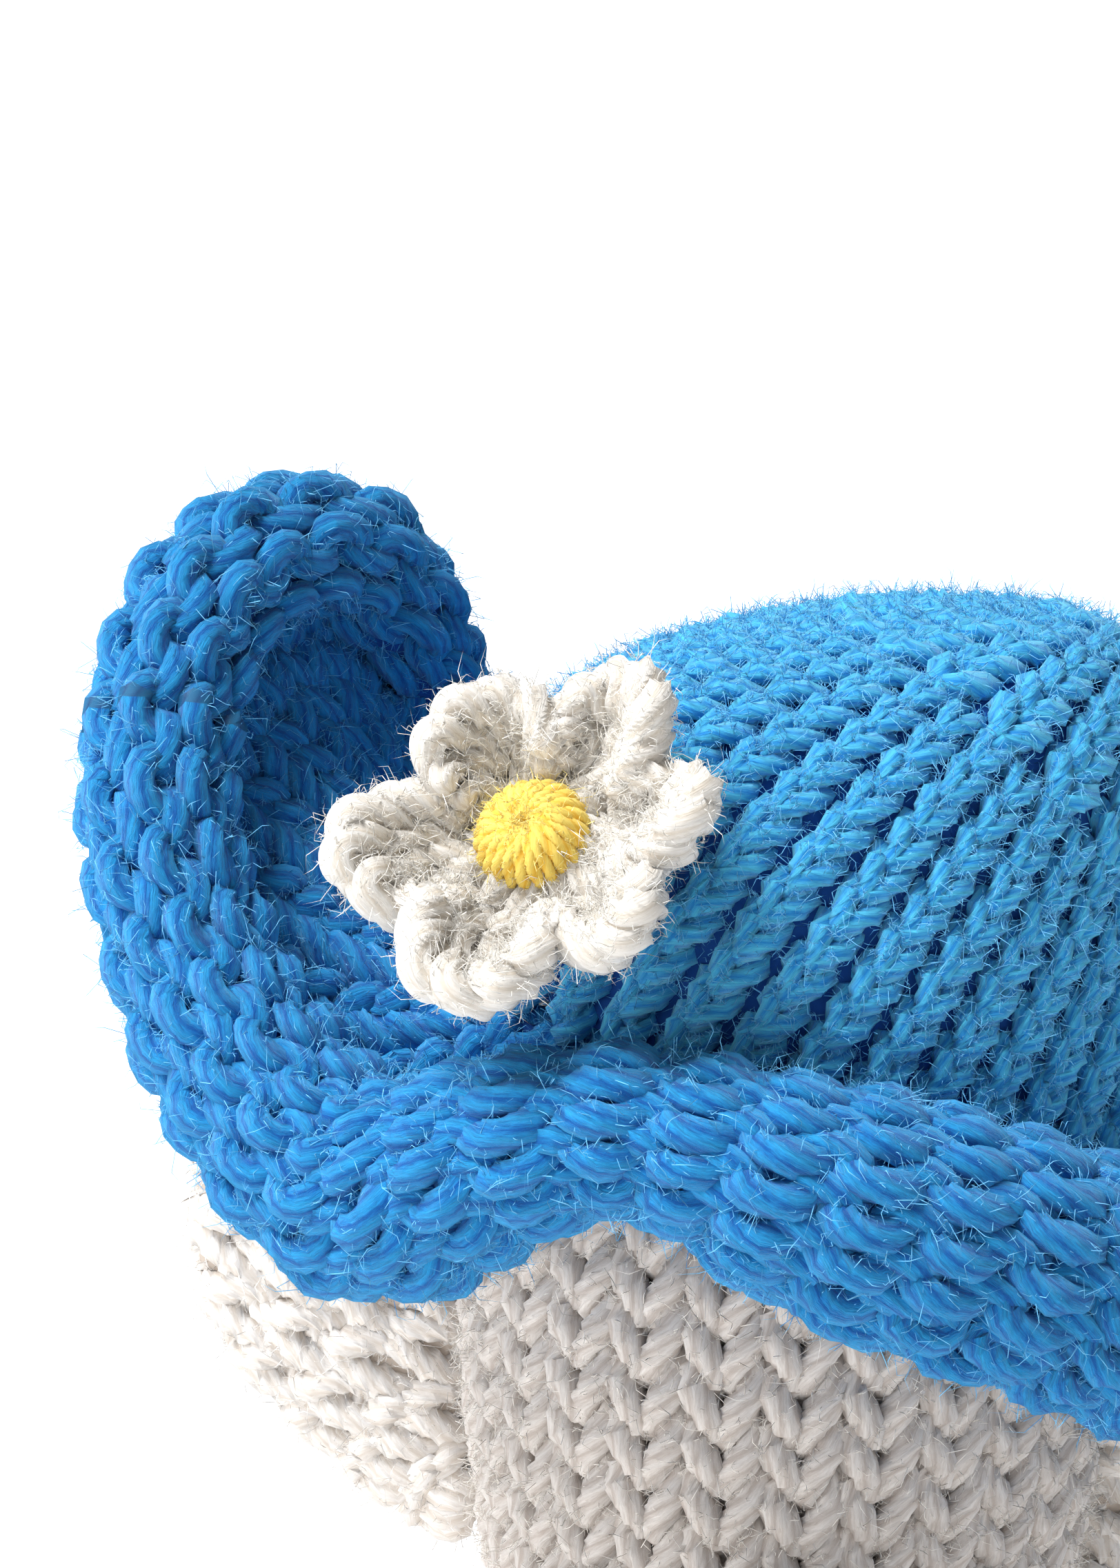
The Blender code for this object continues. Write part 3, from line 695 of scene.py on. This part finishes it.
def crown_knitting():
    """The crown's fabric and the length of its longest column of stitches.

    The columns run down from a pole at the crown's right. Rays from the heart find the crown's surface. Each
    column follows one plane of rays and is cut at the crown's edge, so the rows end there.
    """
    heart = np.array(KNIT_HEART, float)
    axis = unit(np.array(KNIT_POLE) - heart)
    first = unit(np.cross(axis, (0.0, 1.0, 0.0)))
    second = np.cross(axis, first)
    turns = TURN * np.arange(240) / 240
    tilts = np.linspace(0.0, 2.6, 240)[:, None, None]
    around = np.cos(turns)[:, None] * first + np.sin(turns)[:, None] * second
    rays = np.cos(tilts) * axis + np.sin(tilts) * around
    near, far = np.zeros(rays.shape[:2]), np.full(rays.shape[:2], 80.0)
    for _ in range(24):
        middle = (near + far) / 2
        points = heart + rays * middle[..., None]
        _, top, within = crown_height(points[..., :2])
        inside = within & (points[..., 2] < top)
        near, far = np.where(inside, middle, near), np.where(inside, far, middle)
    points = heart + rays * near[..., None]
    edge, _, _ = crown_height(points[..., :2])
    lines, reaches = [], []
    for index in range(len(turns)):
        line = points[:, index]
        below = np.flatnonzero(line[:, 2] < edge[:, index])
        line = line[:below[0]] if len(below) else line
        lines.append(line)
        reaches.append(np.r_[0, np.cumsum(np.linalg.norm(np.diff(line, axis=0), axis=1))])
    longest = max(reach[-1] for reach in reaches)
    places = np.linspace(longest, KNIT_HOLE, 100)
    columns = []
    for line, reach in zip(lines, reaches):
        column = np.stack([np.interp(places, reach, line[:, axis]) for axis in range(3)], axis=1)
        column[:, 2] -= places * EDGE_FALL * (places > reach[-1])
        columns.append(column)
    foot = (longest - np.array([reach[-1] for reach in reaches])) / (longest - KNIT_HOLE)
    return Fabric(np.stack(columns, axis=1), inset=HAT_WALL_MIDDLE, foot=foot), longest


def brim_fabric():
    """The middle of the brim, in rows from the edge inside its roll to the crown.

    Its columns are evenly apart along the roll, and become evenly apart again towards the crown.
    """
    columns = 216
    fine = np.linspace(0, TURN, 721)
    rim = np.array([rim_at(angle)[0] for angle in fine])
    length = np.r_[0, np.cumsum(np.linalg.norm(np.diff(rim, axis=0), axis=1))]
    start = np.interp(BRIM_SEAM, fine, length)
    spaced = np.interp((start + np.arange(columns) / columns * length[-1]) % length[-1], length, fine)
    brim = even(np.stack([brim_line(angle)[::-1] for angle in spaced], axis=1), 80)
    rows = []
    for level, line in zip(np.linspace(0, 1, 80), brim):
        share = np.clip((level - 0.5) / 0.3, 0, 1)
        blend = share * share * (3 - 2 * share)
        spaced_again = spread(np.vstack([line, line[:1]]), columns + 1)[:-1]
        rows.append(line * (1 - blend) + spaced_again * blend)
    return Fabric(rows)


# ---- ears ----
def ear_fabric(side):
    """A cupped flat ear from its seam to its edge."""
    away = math.radians(EAR_AWAY)
    outward = np.array((side * math.cos(away), math.sin(away), 0))
    across = np.array((-side * math.sin(away), math.cos(away), 0))
    edge = spread(smooth(EAR_EDGE, 8), 60)
    seam = spread(np.array(EAR_SEAM, float), 60)
    rows = []
    for share in np.linspace(0.12, 1, 30):
        flat = seam + (edge - seam) * (share - 0.075)
        width, height = flat[:, :1], flat[:, 1:]
        if side > 0:
            height = height * DROOP_HEIGHT - width * DROOP - DROOP_ROOT
        cup = EAR_CUP * math.sin(math.pi * share)
        root = np.array(mirrored(EAR_ROOT, side))
        rows.append(root + outward * width + np.array((0, 0, 1)) * height - across * cup)
    grid = np.array(rows)
    return Fabric(grid if side < 0 else grid[:, ::-1], closed=False)


# ---- flower ----
def flower_frame():
    facing = Vector(FLOWER_FACING).normalized()
    turn = Vector((0, 0, 1)).rotation_difference(facing).to_matrix()
    return np.array(turn), np.array(facing)


def in_flower(points):
    """Points given flat, with the flower's face up, at their place on the hat."""
    turn, _ = flower_frame()
    return np.array(FLOWER_CENTRE) + np.asarray(points, float) @ turn.T


def petal_point(index, turn, share):
    """Places on a petal: turn runs 0 to 1 round its outline from heart to heart, share 0 to 1 outwards."""
    middle, before, reach = PETALS[index]
    after = PETALS[(index + 1) % len(PETALS)][1]
    start, end = math.radians(before), math.radians(before + (after - before) % 360)
    middle = start + (math.radians(middle) - start) % TURN
    swing = np.interp(turn, (0, 0.5, 1), (start, middle, end))
    lobe = np.sin(math.pi * turn)
    radius = FLOWER_HEART + (reach - FLOWER_HEART) * lobe ** 0.3 * share
    height = 0.2 + 2.8 * share ** 2.4 * (0.5 + 0.5 * lobe) - 1.2 * np.sin(math.pi * share) * lobe
    height = height + 0.7 * np.sin(index * 2.3 + 7 * turn) * share
    return np.stack([radius * np.cos(swing), radius * np.sin(swing), height], axis=1)


def petal_path(index, turn, share, lift):
    """A line over a petal, raised off it by lift."""
    points = petal_point(index, turn, share)
    points[:, 2] += lift
    return in_flower(points)


def make_petals(white, painted_shade_white_core, hair):
    """Cups of crocheted posts over a core coloured as painted shade, with chains along their edges."""
    yarn = Yarn("flower_petals_yarn", "hat", white, "white_cotton", ("flower_petals",), radius=1.25, plies=6,
                sides=12, groove=0.3, pitch=9.5, seed=71)
    _, facing = flower_frame()
    for index in range(len(PETALS)):
        around = np.linspace(0.04, 0.96, 24)
        levels = [petal_path(index, around, share, -0.2) for share in np.linspace(0.1, 0.94, 10)]
        painted_shade_core = Fabric(levels, closed=False)
        lining(f"flower_petal_{index + 1}_core", painted_shade_core, 0.5, "hat", painted_shade_white_core)
        for post in range(POSTS):
            share = np.linspace(0.05, 0.9, 22)
            turn = 0.14 + 0.72 * (post + 0.5) / POSTS + 0.02 * np.sin(share * 9 + post * 2.1 + index)
            path = petal_path(index, turn, share, 0.75 + 0.35 * np.sin(share * 12 + post * 2.3))
            yarn.spin(path, np.broadcast_to(facing, path.shape), closed=False)
        for share, links, swing, lift, size in CHAINS:
            for strand in range(2):
                turn = np.linspace(0.03, 0.97, links * 16)
                beat = links * math.pi * turn + strand * math.pi + index
                path = petal_path(index, turn, share + swing * np.sin(beat), lift + 0.7 * np.cos(beat))
                yarn.spin(path, np.broadcast_to(facing, path.shape), size, closed=False)
    yarn.gather()
    yarn.fluff(22.0, 1.3, hair, around=1.4, seed=72)


def make_flower_centre(yellow, hair):
    """A button of thread wound over from its middle to its rim."""
    thread = Yarn("flower_centre_thread", "hat", yellow, "yellow_thread", ("flower_centre",), radius=0.5,
                  plies=2, sides=8, groove=0.25, pitch=3.4, seed=81)
    for index in range(THREADS):
        angle = TURN * index / THREADS
        share = np.linspace(0, 1, 18)
        radius = 0.12 + 3.2 * np.sin(share * math.pi * 0.56)
        height = 1.9 + 1.9 * np.cos(share * math.pi * 0.62) * (1 - 0.35 * np.exp(-(share * 5) ** 2))
        path = in_flower(np.stack([radius * math.cos(angle), radius * math.sin(angle), height], axis=1))
        sideways, centre = in_flower([[-math.sin(angle), math.cos(angle), 0], [0, 0, 0]])
        thread.spin(path, np.broadcast_to(unit(sideways - centre), path.shape), closed=False)
    thread.gather()
    thread.fluff(14.0, 0.8, hair, seed=82)


# ---- the toy's parts ----
def make_round_part(name, rides, fabric, columns, covers, stuffing, cream, hair, painted_shade_core, seed):
    """A knitted cover over its filling, whose dark brown colour is painted shade seen between the stitches.
    """
    fine = name == "head"
    yarn = Yarn(f"{name}_yarn", rides, cream, "cream_wool", covers, radius=1.28, plies=5,
                sides=10, groove=0.1, pitch=11, seed=seed + 11)
    knit(yarn, fabric, columns, 20 if fine else 14, phase=HEAD_PHASE if fine else 0, lean=0.29)
    yarn.gather()
    yarn.fluff(7.0 if fine else 2.0, 1.4, hair, seed=seed + 31)
    filling = form(f"{name}_filling", fabric, FILLING_DEPTH, rides, painted_shade_core)
    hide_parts(stuffing)


def make_round_parts(cream):
    trunk_path = smooth(TRUNK_PATH, 6)
    trunk_radii = smooth([(radius,) for radius in TRUNK_RADII], 6)[:, 0]
    trunk = limb_fabric(trunk_path[::-1], trunk_radii[::-1])
    parts = [
        ("body", "torso", turned_fabric(BODY_PROFILE), 34, ("body_cover",), "body_stuffing"),
        ("head", "head", turned_fabric(HEAD_PROFILE), 26, ("head_cover",), "head_stuffing"),
        ("trunk", "trunk", trunk, 12, ("trunk_cover",), "trunk_stuffing"),
    ]
    for label, side in SIDES.items():
        for limb, start, end, radii, columns in (("arm", SHOULDER, HAND, ARM_RADII, 10),
                                                 ("leg", HIP, FOOT, LEG_RADII, 16)):
            name = f"{limb}_{label}"
            path = np.linspace(mirrored(end, side), mirrored(start, side), 8)
            fabric = limb_fabric(path, np.linspace(radii[1], radii[0], 8))
            parts.append((name, name, fabric, columns, (f"{name}_cover",), f"{name}_stuffing"))
    hair = plain("cream_hair", (0.92, 0.88, 0.82), 0.8)
    # Painted shade: the filling is coloured dark brown for the shadow seen between the stitches.
    painted_shade_core = plain("cream_filling_painted_shade", (0.36, 0.25, 0.17), 1.0)
    for seed, part in enumerate(parts):
        make_round_part(*part, cream, hair, painted_shade_core, seed)


def make_ears():
    # Lighter copies of the cream yarn and its fibres for the ears: painted light for the brightly lit ears.
    cream = wool("cream_yarn_painted_lit_ear", (1.0, 0.97, 0.94), (0.74, 0.67, 0.6), 0.3)
    hair = plain("cream_hair_painted_lit_ear", (0.96, 0.93, 0.9), 0.8)
    # Painted shade seen between the ear's stitches.
    painted_shade_core = plain("cream_deep_painted_shade", (0.62, 0.54, 0.47), 1.0)
    for label, side in SIDES.items():
        fabric = ear_fabric(side)
        yarn = Yarn(f"ear_{label}_yarn", f"ear_{label}", cream, "cream_wool", (f"ear_{label}",), radius=1.4,
                    plies=5, sides=10, groove=0.18, seed=50 + side)

        def columns(level):
            return max(int(round(fabric.width(level) / STITCH)), 3)

        knit(yarn, fabric, columns, 22, bulge=0.75, both_faces=True)
        yarn.gather()
        yarn.fluff(5.0, 1.4, hair, seed=60 + side)
        lining(f"ear_{label}_core", fabric, 0.4, f"ear_{label}", painted_shade_core)


def make_hat():
    blue = wool("blue_yarn", (0.03, 0.46, 0.95), (0.004, 0.12, 0.46), 0.4, bump=1.0)
    # A lighter copy of the blue yarn for the crown: painted light, for the crown lit from above more than the
    # brim.
    painted_lit_blue = wool("blue_yarn_painted_lit", (0.12, 0.70, 1.0), (0.02, 0.28, 0.75), 0.6, bump=0.6)
    # The loose fibres are lighter than the yarn: painted highlight of lit fuzz.
    hair = plain("blue_hair_painted_highlight", (0.2, 0.64, 1.0), 0.9)
    # Painted shade: the dark sheet seen between the hat's stitches.
    painted_shade_core = plain("blue_deep_painted_shade", (0.005, 0.07, 0.3), 1.0)
    crown, brim = crown_fabric(), brim_fabric()
    crown_knit, longest = crown_knitting()

    def crown_columns(level):
        width = crown_knit.width(level)
        return next(columns for least, columns in CROWN_COLUMNS if width > least)

    def brim_columns(level):
        return BRIM_COLUMNS[0] if level < ROLL_END else BRIM_COLUMNS[1]

    crown_yarn = Yarn("hat_crown_yarn", "hat", painted_lit_blue, "blue_wool", ("hat",), radius=1.08, plies=5,
                      sides=10, groove=0.2, pitch=7, seed=91)
    knit(crown_yarn, crown_knit, crown_columns, 16, lean=0.25, pinch=0.19, rows=int(longest / CROWN_ROW))
    crown_yarn.gather()
    crown_yarn.fluff(11.0, 1.2, hair, seed=92)
    brim_yarn = Yarn("hat_brim_yarn", "hat", blue, "blue_wool", ("hat",), radius=1.2, plies=5,
                     sides=10, groove=0.2, pitch=14, seed=93)
    knit(brim_yarn, brim, brim_columns, 28, bulge=0.9, loop=0.8, lean=0.24, tuck=0.36, rows=BRIM_ROWS,
         both_faces=True)
    brim_yarn.gather()
    brim_yarn.fluff(12.0, 1.5, hair, around=2.6, seed=94)
    lining("hat_crown_core", crown, 0.3, "hat", painted_shade_core, lift=-0.3)
    lining("hat_brim_core", brim, 0.3, "hat", painted_shade_core)


def make_flower():
    white = wool("white_yarn", (0.99, 0.965, 0.925), (0.74, 0.67, 0.58), 0.3, bump=0.6)
    # Painted shade seen between the petals' posts.
    painted_shade_white_core = plain("white_deep_painted_shade", (0.6, 0.55, 0.48), 1.0)
    make_petals(white, painted_shade_white_core, plain("white_hair", (0.95, 0.93, 0.88), 0.8))
    yellow = wool("yellow_yarn", (1.0, 0.80, 0.2), (0.86, 0.5, 0.05), 0.3)
    make_flower_centre(yellow, plain("yellow_hair", (1.0, 0.84, 0.3), 0.8))


def make_tail(cream):
    """Three strands twisted into a cord, and the tuft at its end."""
    points = 60
    cord = spread(smooth(TAIL_PATH, 8), points)
    tail = Yarn("tail_yarn", "tail", cream, "cream_wool", ("tail",), radius=1.05, sides=9, seed=97)
    for strand in range(3):
        turn = TURN * strand / 3 + np.linspace(0, 5, points) * 1.7
        offset = 1.15 * np.stack([np.cos(turn), np.zeros(points), np.sin(turn)], axis=1)
        tail.spin(cord + offset, np.broadcast_to((1.0, 0, 0.2), cord.shape), closed=False)
    tail.gather()
    tuft = Yarn("tail_tuft_yarn", "tail", cream, "cream_wool", ("tail_tuft",), radius=0.85, sides=9, seed=98)
    strands = 14
    for strand in range(strands):
        turn = TURN * strand * 0.38
        radius = TUFT_RADIUS * math.sqrt((strand + 0.5) / strands)
        out = radius * np.array((math.cos(turn), 0, math.sin(turn)))
        share = np.linspace(0, 1, 16)[:, None]
        path = np.array(TUFT_START) * (1 - share) + np.array(TUFT_END) * share
        path = path + np.sin(share * math.pi * 0.75) * out
        tuft.spin(path, np.broadcast_to((1.0, 0, 0.3), path.shape), closed=False)
    tuft.gather()


def colour_eyes():
    """The eyes and their washers keep their shapes and get surfaces."""
    surfaces = {
        "eye": plain("black_bead", (0.008, 0.008, 0.01), 0.12),
        "eye_washer": plain("white_washer", (0.85, 0.85, 0.85), 0.4),
    }
    for kind, surface in surfaces.items():
        for label in SIDES:
            for found in bpy.data.objects:
                if found.get("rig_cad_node") == f"{kind}_{label}":
                    found.data.materials.clear()
                    found.data.materials.append(surface)


def build():
    # The ears use a lighter copy of this yarn, painted light.
    cream = wool("cream_yarn", (0.74, 0.70, 0.665), (0.47, 0.41, 0.37), 0.25)
    make_round_parts(cream)
    make_ears()
    make_hat()
    make_flower()
    make_tail(cream)
    colour_eyes()


# ---- camera, floor and light ----
def make_floor():
    """A level floor that rises gently far away."""
    turn = np.linspace(0, TURN, FLOOR_SIDES, endpoint=False)
    outline = np.stack([np.cos(turn), np.sin(turn), np.zeros(FLOOR_SIDES)], axis=1)
    points = np.vstack([outline * FLOOR_FLAT, outline * FLOOR_EDGE + (0, 0, FLOOR_RISE)])
    corner = np.arange(FLOOR_SIDES)
    after = (corner + 1) % FLOOR_SIDES
    slope = np.stack([corner, corner + FLOOR_SIDES, after + FLOOR_SIDES, after], axis=1)
    floor = mesh_piece("floor", points, [corner[None], slope], plain("pale_floor", (0.93, 0.93, 0.93), 0.9))


def make_light(name, kind, place, target, power):
    light = bpy.data.lights.new(name, kind)
    light.energy = power
    lamp = bpy.data.objects.new(name, light)
    lamp.location = place
    lamp.rotation_euler = (Vector(place) - Vector(target)).to_track_quat("Z", "Y").to_euler()
    bpy.context.scene.collection.objects.link(lamp)
    return light


def make_lights():
    world = bpy.data.worlds.new("studio")
    world.use_nodes = True
    background = world.node_tree.nodes["Background"]
    background.inputs["Color"].default_value = (1, 1, 1, 1)
    background.inputs["Strength"].default_value = WORLD_LIGHT
    bpy.context.scene.world = world
    for name, (towards, width, power) in SUNS.items():
        sun = make_light(name, "SUN", towards, (0, 0, 0), power)
        sun.angle = math.radians(width)
    place, target = Vector(SIDE_LIGHT_PLACE) * MM, Vector(SIDE_LIGHT_TARGET) * MM
    side_light = make_light("side", "AREA", place, target, SIDE_LIGHT_POWER)
    side_light.size = SIDE_LIGHT_WIDTH * MM


def make_camera():
    scene = bpy.context.scene
    camera = bpy.data.objects.new("camera", bpy.data.cameras.new("camera"))
    back = Vector((0, -math.cos(CAMERA_ELEVATION), math.sin(CAMERA_ELEVATION)))
    camera.location = (Vector(CAMERA_TARGET) + back * CAMERA_DISTANCE) * MM
    camera.rotation_euler = (-back).to_track_quat("-Z", "Y").to_euler()
    camera.data.lens = LENS
    camera.data.clip_start = 0.01
    camera.data.clip_end = 60
    scene.collection.objects.link(camera)
    scene.camera = camera
    scene.view_settings.view_transform = "Standard"


def make_stage():
    make_floor()
    make_lights()
    make_camera()


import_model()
build()
make_stage()
